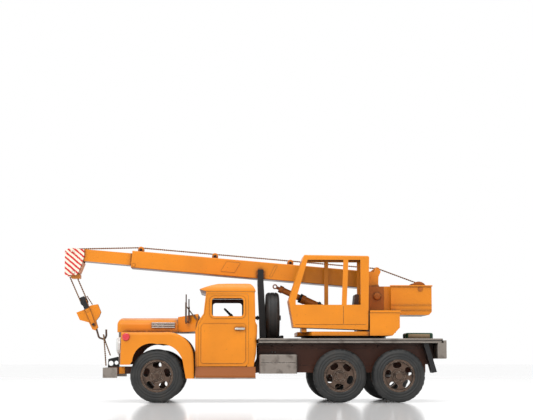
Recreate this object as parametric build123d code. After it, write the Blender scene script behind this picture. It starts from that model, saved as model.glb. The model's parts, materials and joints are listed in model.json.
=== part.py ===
"""A toy crane truck: a bonneted three-axle lorry with a slewing telescopic crane.

Millimetres. The bonnet points along -X, the driver's side is -Y, +Z is up and the tyres stand on Z = 0.
Each piece that would come off on a bench is a solid, and each node is written to its own STEP file.
"""
from build123d import *
import math
import os

os.makedirs("parts", exist_ok=True)

# ---------------------------------------------------------------- driving dimensions
NEAR, FAR = -1, 1                      # the two sides of the truck, as signs of Y
SIDES = (NEAR, FAR)
RUN = 0.05                             # radial running clearance of a shaft in its bore

TYRE_R, RIM_R, TYRE_WIDTH = 42.0, 25.5, 22.0
WHEEL_OUT = 98.0                       # outer face of a wheel, from the middle of the truck
AXLE_R, AXLE_Z = 3.0, 42.0
AXLE_X = {"front": -152.0, "middle": 135.5, "rear": 228.3}
SPOKE_PHASE = {"front": 18.0, "middle": 50.0, "rear": 26.0}

RAIL_IN, RAIL_OUT = 54.0, 60.0
DECK_X, DECK_Y, DECK_Z = (7.0, 300.0), 92.0, (94.0, 101.0)

CAB_Y, CAB_WALL = 88.0, 3.0

SLEW_X, RING_R = 150.0, 70.0
BASE_Z = (105.4, 112.0)
PLATE_IN, PLATE_OUT = 26.0, 29.0       # the crane's pivot plates
PIVOT = (202.6, 170.7)                 # boom pivot in (x, z)
RAM_FOOT, RAM_EYE = (178.0, 123.5), (36.9, 187.9)

BOOM_PITCH = math.degrees(math.atan(0.0855))
BOOM_Z0 = 214.6                        # height of the boom's centreline above the origin
BOOM_H, BOOM_W, BOOM_WALL = 28.0, 40.0, 2.5
JIB_H, JIB_W = 19.5, 33.0
ROLLER_RISE = 18.0                     # rope rollers above the boom's centreline
ROLLER_CORE, ROPE_R = 2.2, 1.0
ROLLER_S = {"front": -186.5, "middle": -64.0, "back": 60.9}
HORN = (205.5, 215.0)                  # the root roller, on the line of the others

HEAD_TOP_PIN, HEAD_LOW_PIN = (-294.3, 243.1), (-293.0, 209.8)
SHEAVE_GROOVE, SHEAVE_R = 5.0, 6.8
DRUM = (272.0, 182.0)
DRUM_CORE, DRUM_FLANGE, DRUM_WOUND = 6.0, 13.5, 10.9

BLOCK_SHEAVE = (-277.0, 162.0)
BLOCK_PIN, HOOK_PIN = (-271.2, 149.0), (-261.1, 125.1)
FALL = (-0.407, 0.914)                 # unit direction of the falls, in (x, z), going up


# ---------------------------------------------------------------- helpers
def box(x, y, z):
    """A block from three (low, high) ranges."""
    centre = [(low + high) / 2 for low, high in (x, y, z)]
    return Pos(*centre) * Box(x[1] - x[0], y[1] - y[0], z[1] - z[0])


def both(side, low, high):
    """The Y range from low to high on one side of the truck."""
    return tuple(sorted((side * low, side * high)))


def slab_y(outline, y):
    """A closed (x, z) outline, thick along Y."""
    points = [(px, y[0], pz) for px, pz in outline]
    face = Face(Wire.make_polygon(points, close=True))
    return extrude(face, amount=y[1] - y[0], dir=(0, 1, 0))


def slab_x(outline, x):
    """A closed (y, z) outline, thick along X."""
    points = [(x[0], py, pz) for py, pz in outline]
    face = Face(Wire.make_polygon(points, close=True))
    return extrude(face, amount=x[1] - x[0], dir=(1, 0, 0))


def slab_z(outline, z):
    """A closed (x, y) outline, thick along Z."""
    points = [(px, py, z[0]) for px, py in outline]
    face = Face(Wire.make_polygon(points, close=True))
    return extrude(face, amount=z[1] - z[0], dir=(0, 0, 1))


def loop_face(curves):
    """The flat face inside a closed loop of lines and arcs."""
    return Face(Wire([edge for curve in curves for edge in curve.edges()]))


def curved_y(curves, y):
    """A closed loop of curves drawn in (x, 0, z), thick along Y."""
    face = loop_face(curves).moved(Location((0, y[0], 0)))
    return extrude(face, amount=y[1] - y[0], dir=(0, 1, 0))


def bar(start, end, radius):
    """A round bar between two points."""
    a, b = Vector(*start), Vector(*end)
    plane = Plane(origin=a, z_dir=b - a)
    return extrude(plane * Circle(radius), amount=(b - a).length)


def bar_y(centre, radius, y):
    return bar((centre[0], y[0], centre[1]), (centre[0], y[1], centre[1]), radius)


def bar_z(centre, radius, z):
    return bar((centre[0], centre[1], z[0]), (centre[0], centre[1], z[1]), radius)


def tube_path(points, radii):
    """Straight runs joined by tangent arcs."""
    return FilletPolyline(*points, radius=radii)


def cord(points, radii, radius):
    """A solid rope or rod along straight runs and arcs."""
    path = tube_path(points, radii)
    section = Plane(origin=path @ 0, z_dir=path % 0) * Circle(radius)
    solid = sweep(section, path=path)
    ideal = math.pi * radius**2 * path.length
    print(f"  cord of {path.length:.1f} mm, volume {solid.volume / ideal:.3f} of its section times length")
    return solid


def softened(part, axis, radius, keep=lambda edge: True):
    """Round the straight edges that run along an axis."""
    edges = [e for e in part.edges().filter_by(axis) if keep(e.center())]
    return fillet(edges, radius) if edges else part


def on_boom(part):
    """Lay a piece, drawn level about the origin, along the boom's pitched centreline."""
    return Pos(0, 0, BOOM_Z0) * Rot(0, BOOM_PITCH, 0) * part


def boom_point(s, h, y=0.0):
    """A point s along the boom and h above its centreline."""
    pitch = math.radians(BOOM_PITCH)
    x = s * math.cos(pitch) + h * math.sin(pitch)
    z = BOOM_Z0 - s * math.sin(pitch) + h * math.cos(pitch)
    return (x, y, z)


def save(name, *shapes):
    """Write one node; its solids stay separate."""
    solids = [solid for shape in shapes for solid in shape.solids()]
    export_step(Compound(children=solids), f"parts/{name}.step")


# ---------------------------------------------------------------- wheels
def tyre():
    """A tyre on the Z axis, its outer sidewall at z = 0."""
    body = Cylinder(TYRE_R, TYRE_WIDTH, align=(Align.CENTER, Align.CENTER, Align.MAX))
    body = fillet(body.edges().filter_by(GeomType.CIRCLE), 6.0)
    body -= Cylinder(RIM_R, 3 * TYRE_WIDTH)
    for ring in (29.5, 33.5):
        body -= Cylinder(ring + 0.8, 1.0) - Cylinder(ring, 1.0)
    for z in (-7.5, -14.5):
        groove = Cylinder(TYRE_R + 1, 1.4) - Cylinder(TYRE_R - 1.2, 1.4)
        body -= Pos(0, 0, z) * groove
    return body


def rim(phase, bore):
    """A five-spoked disc wheel on the Z axis, with its hub."""
    inner = RIM_R - 2.6
    down = (Align.CENTER, Align.CENTER, Align.MAX)
    body = Pos(0, 0, -1.5) * Cylinder(RIM_R, 19.0, align=down)
    body -= Pos(0, 0, -1.5) * Cylinder(inner, 19.0, align=down)
    body += Pos(0, 0, -4.0) * Cylinder(inner + 0.5, 3.2, align=down)
    body += Pos(0, 0, -2.6) * Cylinder(10.5, 2.0, align=down)
    body += Pos(0, 0, -1.8) * Cylinder(7.0, 18.2, align=down)
    for turn in range(5):
        angle = phase + 72.0 * turn
        window = extrude(SlotOverall(14.0, 9.2), amount=6.0, both=True)
        body -= Rot(0, 0, angle) * Pos(17.0, 0, -5.0) * Rot(0, 0, 90) * window
    return body - Cylinder(bore, 60.0)


def stand_wheel(part, x, side):
    """Turn a wheel's Z axis outwards and put it on its axle."""
    return Pos(x, side * WHEEL_OUT, AXLE_Z) * Rot(-90 * side, 0, 0) * part


def wheels():
    for row, x in AXLE_X.items():
        for side, word in ((NEAR, "left"), (FAR, "right")):
            save(f"tyre_{row}_{word}", stand_wheel(tyre(), x, side))
            phase = SPOKE_PHASE[row] * -side
            save(f"rim_{row}_{word}", stand_wheel(rim(phase, AXLE_R + RUN), x, side))


# ---------------------------------------------------------------- chassis
def frame_rails():
    outline = [(-229, 45), (-229, 56.2), (1, 56.2), (8, 70), (8, 93.7), (276, 93.7), (276, 47),
        (8, 47), (-4, 45)]
    pieces = []
    for side in SIDES:
        rail = slab_y(outline, both(side, RAIL_IN, RAIL_OUT))
        for z in (58.0, 85.0):
            rail -= box((14, 270), both(side, RAIL_OUT - 0.8, RAIL_OUT + 1), (z, z + 1.2))
        for x in AXLE_X.values():
            hanger = [(x - 10, 47), (x - 5, 36), (x + 5, 36), (x + 10, 47)]
            rail += slab_y(hanger, both(side, RAIL_IN, RAIL_OUT))
            rail -= bar_y((x, AXLE_Z), AXLE_R, both(side, RAIL_IN - 1, RAIL_OUT + 1))
        pieces.append(rail)
    for x in (-196, -100, 24, 100, 182, 262):
        pieces.append(box((x, x + 10), (-RAIL_IN, RAIL_IN), (47, 55)))
    pieces.append(box((276, 290.8), (-50, 50), (60, 93.7)))
    save("frame_rails", *pieces)


def axles():
    pieces = []
    for x in AXLE_X.values():
        axle = bar_y((x, AXLE_Z), AXLE_R, (-WHEEL_OUT, WHEEL_OUT))
        for side in SIDES:
            axle += bar_y((x, AXLE_Z), 5.2, both(side, WHEEL_OUT - 1.5, WHEEL_OUT + 0.4))
        pieces.append(axle)
    save("axles", *pieces)


def deck():
    x = DECK_X
    plate = box(x, (-DECK_Y, DECK_Y), DECK_Z)
    plate = softened(plate, Axis.Z, 5.0)
    plate = fillet(plate.edges().group_by(Axis.Z)[-1], 1.0)
    plate -= box((20.7, 43.4), (-24, 24), (DECK_Z[0] - 1, DECK_Z[1] + 1))
    save("deck_plate", plate)


def bumpers():
    outer = box((-237, -214), (-97, 97), (39, 55))
    outer = softened(outer, Axis.Z, 7.0, lambda c: c.X < -230)
    inner = box((-233.5, -210), (-93.5, 93.5), (38, 56))
    inner = softened(inner, Axis.Z, 4.0, lambda c: c.X < -230)
    mount = box((-233.5, -229.2), (-64, 64), (43, 54))
    save("front_bumper", outer - inner + mount)
    channel = box((291, 305), (-DECK_Y, DECK_Y), (69, 93.7))
    channel = softened(channel, Axis.Y, 1.5)
    back = box((300.2, 305), (-DECK_Y, DECK_Y), (80, 98))
    save("rear_bumper", channel + back)


def lash_bracket():
    outline = [(-237.4, 55), (-218.4, 55), (-218.4, 70.5), (-221.5, 72.4), (-236.6, 68.6)]
    plate = slab_y(outline, (-1.5, 1.5))
    plate -= bar_y((-232.2, 61.6), 4.0, (-3, 3))
    plate -= bar_y((-223.4, 62.6), 3.2, (-3, 3))
    foot = box((-237, -233.6), (-6, 6), (55, 56.5))
    save("lash_bracket", plate + foot)


# ---------------------------------------------------------------- bonnet and wings
def bonnet_block(inset, x):
    """The bonnet's crowned block, or the smaller one that hollows it."""
    half, low, shoulder, high = 54.0 - inset, 111.5 + inset / 5, 129.5 - inset, 135.5 - inset
    crown = ThreePointArc((0, -half, shoulder), (0, 0, high), (0, half, shoulder))
    sides = Polyline((0, half, shoulder), (0, half, low), (0, -half, low), (0, -half, shoulder))
    body = extrude(loop_face([crown, sides]).moved(Location((x[0], 0, 0))), amount=x[1] - x[0],
        dir=(1, 0, 0))
    return softened(body, Axis.X, 10.0 - inset, lambda c: c.Z > 120)


def bonnet():
    body = bonnet_block(0, (-218.4, -121.4))
    nose = [e for e in body.edges() if e.center().X < -218.3 and e.center().Z > 112]
    body = fillet(nose, 7.0)
    body -= bonnet_block(5, (-211, -120))
    for side in SIDES:
        for z in (118.2, 121.6, 125.0):
            strip = box((-163, -126), both(side, 50, 55.2), (z, z + 1.8))
            body += softened(strip, Axis.X, 0.8, lambda c: abs(c.Y) > 55)
    save("bonnet", body)


def wing_edges(grow):
    """Side outline of a front wing, as a loop of edges in (x, 0, z)."""
    g = grow
    front_low, front_top = (-209.8 + g, 0, 59.5), (-208.6 + g, 0, 110.4 - g)
    crown_start, crown_mid = (-141, 0, 110.4 - g), (-107.5 - g * 0.7, 0, 99.5 - g * 0.7)
    crown_end, foot = (-95.0 - g, 0, 70.0), (-93.2 - g, 0, 37.8)
    crown = ThreePointArc(crown_start, crown_mid, crown_end)
    rest = Polyline(crown_end, foot, (-140, 0, 37.8), (-190, 0, 59.5), front_low, front_top, crown_start)
    return [crown, rest]


def wing(side):
    body = curved_y(wing_edges(0), both(side, 54.5, 98))
    rim_edges = [e for e in body.edges() if abs(e.center().Y) > 97.9 and e.center().Z > 60]
    rim_edges = [e for e in rim_edges if e.center().Z > 64]
    body = fillet(rim_edges, 5.0)
    body -= curved_y(wing_edges(2.2), both(side, 50, 95.8))
    front = ThreePointArc((-152, 0, 91.6), (-179.5, 0, 86.5), (-190.6, 0, 65))
    back = ThreePointArc((-111, 0, 61.4), (-122, 0, 82.6), (-152, 0, 91.6))
    foot = Polyline((-190.6, 0, 65), (-195, 0, 59.0), (-195, 0, 30), (-106.6, 0, 30),
        (-106.6, 0, 38), (-111, 0, 61.4))
    body -= curved_y([front, back, foot], both(side, 40, 110))
    return body - box((-220, -80), both(side, 40, RAIL_OUT + 0.4), (30, 58))


def front_wings():
    save("front_wings", wing(NEAR), wing(FAR))


def grille():
    frame = box((-215.5, -211.2), (-53.5, 53.5), (60, 111.2))
    for column in range(-4, 5):
        y = column * 11.0
        frame -= box((-217, -210), (y - 3.6, y + 3.6), (66, 105))
    save("grille", frame)


def lamps():
    pieces = []
    for side in SIDES:
        dome = bar((-200.6, side * 98, 103.0), (-200.6, side * 100.4, 103.0), 5.8)
        face = dome.faces().sort_by(Axis.Y)[-1 if side > 0 else 0]
        pieces.append(fillet(face.edges(), 1.8))
        pieces.append(box((305, 307.5), both(side, 62, 78), (79, 86)))
    for side in SIDES:
        lens = bar((-210.2, side * 76, 90), (-217, side * 76, 90), 13.0)
        face = lens.faces().sort_by(Axis.X)[0]
        pieces.append(fillet(face.edges(), 4.0))
    save("lamps", *pieces)


# ---------------------------------------------------------------- driver's cab
CAB_OUTLINE = [
    (-92.5, 56.5), (-92.5, 112), (-88, 128), (-79.5, 140), (-75.5, 175),
    (1.5, 175), (2.5, 127), (5.4, 122), (5.4, 112), (3.6, 78), (0, 58.5), (-0.4, 56.5),
]
DOOR_OUTLINE = [
    (-87.4, 57.0), (-87.4, 122), (-77.5, 139), (-73.5, 171), (-10.5, 171), (-8.6, 168.5),
    (-8.4, 62), (-13, 57.0),
]
WINDOW = ((-66.5, -16.5), (136.0, 164.5))


def offset_slab_y(outline, amount, y):
    """The outline grown by an amount, thick along Y."""
    wire = Wire.make_polygon([(px, 0, pz) for px, pz in outline], close=True)
    loop = wire.offset_2d(amount, kind=Kind.INTERSECTION)
    face = Face(loop).moved(Location((0, y[0], 0)))
    return extrude(face, amount=y[1] - y[0], dir=(0, 1, 0))


def cab_shell():
    """The cab's sheets: pillars and rails round each door, the floor, the front with its cowl, and the back."""
    body = slab_y(CAB_OUTLINE, (-CAB_Y, CAB_Y))
    plan = box((-92.5, 5.4), (-CAB_Y, CAB_Y), (50, 180))
    body &= softened(plan, Axis.Z, 7.0, lambda c: c.X > 0)
    cavity = [
        (-89.5, 59.5), (-89.5, 112), (-85, 127), (-76.3, 140), (-72.5, 176),
        (-1.5, 176), (-0.4, 127), (2.2, 121), (2.2, 112), (0.6, 78), (-3, 59.5),
    ]
    body -= slab_y(cavity, (-CAB_Y + CAB_WALL, CAB_Y - CAB_WALL))
    cowl = slab_z([(-121, -54), (-121, 54), (-92, 84), (-88, 84), (-88, -84), (-92, -84)], (111.3, 145))
    cowl &= slab_y([(-121, 111.3), (-121, 135.5), (-84, 140.2), (-88.2, 127), (-91, 112)], (-90, 90))
    body += cowl
    for side in SIDES:
        body -= offset_slab_y(DOOR_OUTLINE, 0.4, both(side, CAB_Y - CAB_WALL - 1, CAB_Y + 5))
        screen = box((-86, -70), both(side, 3, 76), (144, 170))
        body -= softened(screen, Axis.X, 5.0)
    rear_window = box((-5, 10), (-46, 46), (136, 165))
    body -= softened(rear_window, Axis.X, 5.0)
    inner = (CAB_WALL - CAB_Y, CAB_Y - CAB_WALL)
    sheets = []
    for side in SIDES:
        skin = both(side, CAB_Y - CAB_WALL, CAB_Y + 2)
        for x, z in (((-130, -73), (50, 180)), ((-73, -10.9), (171, 180)), ((-10.9, 10), (50, 180))):
            sheets.append(body & box(x, skin, z))
    sheets.append(body & box((-130, 10), inner, (50, 59.5)))
    sheets.append(body & box((-130, -60), inner, (59.5, 180)))
    sheets.append(body & box((-60, 10), inner, (59.5, 180)))
    save("cab_shell", *sheets, *running_boards())


def roof_block(drop):
    """The crowned roof, or the smaller form that hollows it."""
    d = drop
    top = Spline((-86 + d, 0, 178.6), (-62, 0, 186.6 - d), (-30, 0, 190.4 - d), (-6, 0, 188 - d),
        (2.6 - d, 0, 176.4))
    low = Polyline((2.6 - d, 0, 176.4), (2.6 - d, 0, 175.2 - d), (-75 + d, 0, 175.2 - d),
        (-86 + d, 0, 178.6))
    long_way = curved_y([top, low], (-CAB_Y - 1, CAB_Y + 1))
    half = CAB_Y + 0.6 - d
    arch = [
        Polyline((0, -half, 178), (0, -half, 175 - d), (0, half, 175 - d), (0, half, 178)),
        ThreePointArc((0, half, 178), (0, half - 5, 184 - d), (0, half - 18, 188 - d)),
        ThreePointArc((0, half - 18, 188 - d), (0, 0, 191.5 - d), (0, 18 - half, 188 - d)),
        ThreePointArc((0, 18 - half, 188 - d), (0, 5 - half, 184 - d), (0, -half, 178)),
    ]
    face = loop_face(arch).moved(Location((-90, 0, 0)))
    return long_way & extrude(face, amount=100, dir=(1, 0, 0))


def cab_roof():
    hollow = roof_block(0) & box((-71, -3), (-80, 80), (170, 182.5))
    save("cab_roof", roof_block(0) - hollow)


def cab_doors():
    for side, word in ((NEAR, "left"), (FAR, "right")):
        door = slab_y(DOOR_OUTLINE, both(side, CAB_Y - CAB_WALL, CAB_Y))
        panel = [(-83, 62), (-83, 119), (-80, 123.5), (-13.5, 123.5), (-13.5, 66), (-17, 62)]
        raised = slab_y(panel, both(side, CAB_Y - 0.5, CAB_Y + 0.9))
        door += softened(raised, Axis.Y, 3.0, lambda c: True)
        window = box(WINDOW[0], both(side, CAB_Y - 9, CAB_Y + 9), WINDOW[1])
        door -= softened(window, Axis.Y, 5.0)
        frame = box((-69.5, -13.5), both(side, CAB_Y - 0.5, CAB_Y + 0.9), (133, 167.5))
        frame = softened(frame, Axis.Y, 7.0)
        door += frame - softened(window, Axis.Y, 5.0)
        grip = box((-30, -14.5), both(side, CAB_Y + 2.2, CAB_Y + 4.2), (114.6, 117.4))
        grip = softened(grip, Axis.Y, 1.3)
        grip += bar((-18, side * (CAB_Y + 0.4), 116), (-18, side * (CAB_Y + 3), 116), 1.3)
        door += grip
        save(f"door_{word}", door)


STEER = (-36.0, -40.0, 139.0)
STEER_AXIS = (math.sqrt(0.5), 0.0, math.sqrt(0.5))


def along_steer(distance):
    return tuple(c + distance * a for c, a in zip(STEER, STEER_AXIS))


def cab_inside():
    seat = box((-38, -8), (-70, 70), (78, 92))
    seat = fillet(seat.edges().filter_by(Axis.Y), 4.0)
    back = box((-12, -4), (-70, 70), (92.2, 128))
    back = fillet(back.edges().group_by(Axis.Z)[-1], 3.0)
    stand = box((-36, -10), (-66, 66), (59.7, 77.8))
    column = bar(along_steer(-70), along_steer(-3.0), 2.6)
    column += bar(along_steer(-4), along_steer(2.6), 1.5)
    save("cab_interior", seat, back, stand, column & box((-88.8, -20), (-60, -20), (59.7, 160)))


def steering_wheel():
    plane = Plane(origin=STEER, z_dir=STEER_AXIS)
    wheel = Torus(14.4, 1.5)
    for turn in range(3):
        spoke = Rot(0, 0, 120 * turn) * box((2.0, 13.6), (-1.1, 1.1), (-0.8, 0.8))
        wheel += spoke
    wheel += Cylinder(3.2, 4.0)
    wheel -= Cylinder(1.5 + RUN, 20)
    save("steering_wheel", plane.location * wheel)


def running_boards():
    """The sloping step under each door, and the bracket that hangs it from the frame."""
    step = [(85.2, 56.2), (88.0, 56.2), (96.0, 42.5), (96.0, 38.0), (93.5, 38.0), (85.2, 52)]
    bracket = [(60.3, 56.2), (84.9, 56.2), (84.9, 53), (60.3, 53)]
    pieces = []
    for side in SIDES:
        for outline, x in ((step, (-92, 2.5)), (bracket, (-60, -30))):
            pieces.append(slab_x([(side * y, z) for y, z in outline], x))
    return pieces


def mirrors():
    pieces = []
    for side in SIDES:
        y = side * 75.0
        rod = bar((-107.4, y, 124), (-107.4, y, 171), 1.0)
        rod += bar((-104.8, side * 72.2, 127), (-107.4, y, 127), 1.0)
        plate = box((-108.8, -106.0), both(side, 76.4, 84.0), (126, 158))
        plate = softened(plate, Axis.X, 1.5)
        plate += bar((-107.4, y, 142), (-107.4, side * 77, 142), 1.4)
        strut = bar((-107.0, y, 152), (-91.0, side * 86.3, 131), 0.9)
        pieces.append(rod + plate + strut)
    save("mirrors", *pieces)


def tool_boxes():
    pieces = []
    for side in SIDES:
        body = box((8.5, 68.0), both(side, 62, 95), (45.5, 75.8))
        body = softened(body, Axis.Z, 4.0, lambda c: abs(c.Y) > 90)
        body = fillet([e for e in body.edges().group_by(Axis.Z)[-1] if abs(e.center().Y) > 70], 2.2)
        body -= box((6, 70), both(side, 93.8, 96), (62.4, 63.4))
        body += bar((38, side * 94.5, 50.5), (38, side * 95.8, 50.5), 1.3)
        pieces.append(body)
    save("tool_boxes", *pieces)


# ---------------------------------------------------------------- things on the deck
SPARE = (136.3, (21.2, 43.2))          # height of the spare wheel's centre, and its X range


def boom_rest():
    """The post behind the cab, of plain bars, with one prong beside the boom and the spare wheel's stud."""
    lean = [(7.9, 199.0), (17.0, 199.0), (20.6, 136), (21.0, 101.2), (11.9, 101.2), (10.9, 136)]
    legs = [slab_y(lean, (-25, -18)), slab_y(lean, (18, 25))]
    top_bar = box((7.9, 17.0), (-18, 18), (192.6, 198.9))
    prong = box((7.9, 17.0), (-25, -20.9), (199.0, 214.5))
    wheel_bar = box((11.4, 19.6), (-18, 18), (130, 143))
    wheel_bar -= bar((0, 0, SPARE[0]), (50, 0, SPARE[0]), 2.4)
    stud = bar((4.5, 0, SPARE[0]), (46.5, 0, SPARE[0]), 2.4)
    stud += bar((43.6, 0, SPARE[0]), (46.4, 0, SPARE[0]), 4.2)
    stud += bar((6.6, 0, SPARE[0]), (9.4, 0, SPARE[0]), 3.6)
    stop = softened(box((44.2, 50), (-20, 20), (101, 107)), Axis.Y, 1.5, lambda c: c.Z > 103)
    save("boom_rest", *legs, top_bar, prong, wheel_bar, stud, stop)


def spare_wheel():
    place = Pos(SPARE[1][1], 0, SPARE[0]) * Rot(0, 90, 0)
    save("spare_wheel", place * tyre(), place * rim(54.0, 2.4))


def turntable():
    ring = bar_z((SLEW_X, 0), RING_R, (101, 105.0))
    ring = fillet(ring.edges().group_by(Axis.Z)[-1], 1.0)
    ring += bar_z((SLEW_X, 0), 12.0, (104, BASE_Z[1] - 0.6))
    save("turntable_ring", ring)


def jerry_can():
    body = box((248, 293), (-40, 0), (101, 111))
    body = softened(body, Axis.Z, 6.0)
    body = fillet(body.edges().group_by(Axis.Z)[-1], 3.0)
    body -= box((254, 287), (-34, -6), (110.2, 112)) - box((257, 284), (-31, -9), (110, 113))
    body += bar((246.2, -20, 106), (248.4, -20, 106), 3.4)
    save("jerry_can", body)


def mud_flaps():
    outline = [(269, 93.7), (276.5, 93.7), (290, 48), (282.6, 46.6)]
    save("mud_flaps", *[slab_y(outline, both(side, 66, 88)) for side in SIDES])


# ---------------------------------------------------------------- crane
def crane_base():
    nose = [(71, -40), (71, 40), (92, 84), (232, 84), (232, -84), (92, -84)]
    plate = slab_z(nose, BASE_Z)
    plate -= bar_z((SLEW_X, 0), 12.0 + RUN, (100, 120))
    side_box = [(184, BASE_Z[0]), (219.6, BASE_Z[0]), (231.6, 118.2), (231.6, 144.6), (184, 144.6)]
    lip = [(184, 142.2), (233.0, 142.2), (233.0, 145.4), (184, 145.4)]
    trim = box((218, 240), (-100, 100), (100, 118.2)) - slab_y(side_box, (-100, 100))
    plate -= trim
    for side in SIDES:
        plate += slab_y(side_box, both(side, 41, 88))
        plate += slab_y(lip, both(side, 40.6, 89))
    plate += box((214.2, 231.6), (-40.6, 40.6), (BASE_Z[1] - 1, 139.8))
    for x, floor in ((76, 118.0), (164, 115.0)):
        plate += slab_y([(x, 111), (x + 8, 111), (x + 8, floor - 0.4), (x, floor)], (-80, -38))
    for side in SIDES:
        lug = box((172, 184), both(side, 7.4, 11), (BASE_Z[1] - 1, 122)) + bar_y(RAM_FOOT, 6.0,
            both(side, 7.4, 11))
        plate += lug
    plate += bar_y(RAM_FOOT, 2.5, (-11.5, 11.5))
    save("crane_base", plate)


def pivot_plates():
    outline = [(186.2, 112.1), (214, 112.1), (214, 187), (186.2, 187)]
    pieces = [slab_y(outline, both(side, PLATE_IN, PLATE_OUT)) for side in SIDES]
    pin = bar_y(PIVOT, 3.5, (-PLATE_OUT, PLATE_OUT))
    for side in SIDES:
        dome = bar_y(PIVOT, 6.3, both(side, PLATE_OUT, PLATE_OUT + 4))
        face = dome.faces().sort_by(Axis.Y)[-1 if side > 0 else 0]
        pin += fillet(face.edges(), 3.6)
    pieces = [piece - bar_y(PIVOT, 3.5, (-40, 40)) for piece in pieces]
    save("pivot_plates", *pieces, pin)


def winch_box():
    outline = [(224, 140), (286, 140), (290.6, 145), (290.6, 188), (224, 188)]
    body = slab_y(outline, (-40.4, 40.4))
    body = softened(body, Axis.Y, 2.0, lambda c: c.X > 280 and c.Z < 150)
    body -= slab_y([(220, 142.4), (285, 142.4), (288.2, 146), (288.2, 190), (220, 190)], (-38, 38))
    for side in SIDES:
        body += box((222.8, 291.8), both(side, 37.9, 42.0), (186.4, 188.4))
        for z in (147.4, 155.4):
            body += box((224, 290.6), both(side, 40, 41.2), (z, z + 1.4))
        body -= bar_y(DRUM, 3.0 + RUN, both(side, 30, 50))
    body += box((288, 291.8), (-42, 42), (186.4, 188.4))
    for side in SIDES:
        body += slab_y([(214.2, 140), (226, 140), (226, 187), (214.2, 187)],
            both(side, PLATE_IN, PLATE_OUT))
    save("winch_box", body)


def winch_drum():
    drum = bar_y(DRUM, 3.0, (-42, 47))
    drum += bar_y(DRUM, DRUM_CORE, (-25, 25))
    for side in SIDES:
        drum += bar_y(DRUM, DRUM_FLANGE, both(side, 22, 25))
    arm = box((DRUM[0] - 3, DRUM[0] + 3), (44, 47), (DRUM[1] - 18, DRUM[1] + 2))
    drum += softened(arm, Axis.Y, 2.5)
    drum += bar_y((DRUM[0], DRUM[1] - 15), 3.0, (46, 58))
    wound = bar_y(DRUM, DRUM_WOUND, (-21.9, 21.9)) - bar_y(DRUM, DRUM_CORE, (-30, 30))
    save("winch_drum", drum, wound)


OPERATOR = [(79.8, 234), (183.7, 232.6), (181.4, 114.6), (62.9, 118.6), (55.5, 161.1)]
OPERATOR_Y = (-86.0, -30.5)


def operator_cab():
    wall, (y0, y1) = 2.4, OPERATOR_Y
    body = slab_y(OPERATOR, OPERATOR_Y)
    roof_edges = [e for e in body.edges() if e.center().Z > 232]
    body = fillet(roof_edges, 3.0)
    body -= offset_slab_y(OPERATOR, -wall, (y0 + wall, y1 - wall))
    door_light = [(85.6, 226), (142.5, 226), (139.6, 154.4), (66.4, 154.4), (66.4, 161.1)]
    rear_light = [(150.4, 226), (169.6, 226), (169.6, 154.4), (147.4, 154.4)]
    for light in (door_light, rear_light):
        body -= slab_y(light, (y0 - 3, y0 + 6))
    far_light = [(85.6, 226), (116, 226), (116, 154.4), (66.4, 154.4), (66.4, 161.1)]
    far_rear = [(122.5, 226), (169.6, 226), (169.6, 154.4), (122.5, 154.4)]
    for light in (far_light, far_rear):
        body -= slab_y(light, (y1 - 6, y1 + 3))
    front = slab_y([(40, 165), (62.5, 165), (86, 225), (40, 225)], (y0 + 9, y1 - 9))
    body -= front
    body -= box((170, 190), (y0 + 11, y1 - 11), (168, 224))
    body -= box((66, 178), (y0 - 1, y0 + 0.5), (122.6, 123.4))
    body -= box((141.6, 142.5), (y0 - 1, y0 + 0.5), (123, 152.5))
    save("operator_cab", body)


def operator_seat():
    y = (-74, -42)
    squab = box((134, 168), y, (121, 136))
    squab = fillet(squab.edges().filter_by(Axis.Y), 3.0)
    back = slab_y([(158, 136.2), (166.8, 136.2), (168.4, 172), (162, 172)], y)
    back = fillet(back.edges().group_by(Axis.Z)[-1], 2.5)
    console = box((98, 114), (-66, -54), (121, 130))
    console -= box((102.4, 109.6), (-62.0, -58.0), (122, 131))
    console += bar_y((106, 125), 0.8, (-63, -57))
    save("operator_seat", squab, back, console)


def control_lever():
    lever = bar((106, -60, 125), (106, -60, 156), 1.1)
    lever += bar_y((106, 125), 2.2, (-61.4, -58.6))
    lever += Pos(106, -60, 157.5) * Sphere(2.9)
    save("control_lever", lever - bar_y((106, 125), 0.8 + RUN, (-70, -50)))


# ---------------------------------------------------------------- lifting ram
def ram():
    span = (RAM_EYE[0] - RAM_FOOT[0], RAM_EYE[1] - RAM_FOOT[1])
    length = math.hypot(*span)
    unit = (span[0] / length, span[1] / length)

    def at(distance):
        return (RAM_FOOT[0] + distance * unit[0], 0.0, RAM_FOOT[1] + distance * unit[1])

    barrel = bar(at(8), at(108), 6.6)
    barrel += bar(at(101), at(108.5), 7.6)
    barrel += bar_y(RAM_FOOT, 5.2, (-7.0, 7.0)) + bar(at(0), at(10), 5.0)
    barrel -= bar(at(12), at(120), 5.0 + RUN)
    barrel -= bar_y(RAM_FOOT, 2.5 + RUN, (-12, 12))
    save("ram_barrel", barrel)
    stage = bar(at(40), at(147), 5.0) + bar(at(141), at(147.5), 6.0)
    stage -= bar(at(44), at(160), 2.5 + RUN)
    save("ram_stage", stage)
    eye = bar(at(80), at(length - 3), 2.5) + bar_y(RAM_EYE, 4.1, (-1.6, 1.6))
    save("ram_rod", eye - bar_y(RAM_EYE, 2.2, (-5, 5)))


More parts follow.
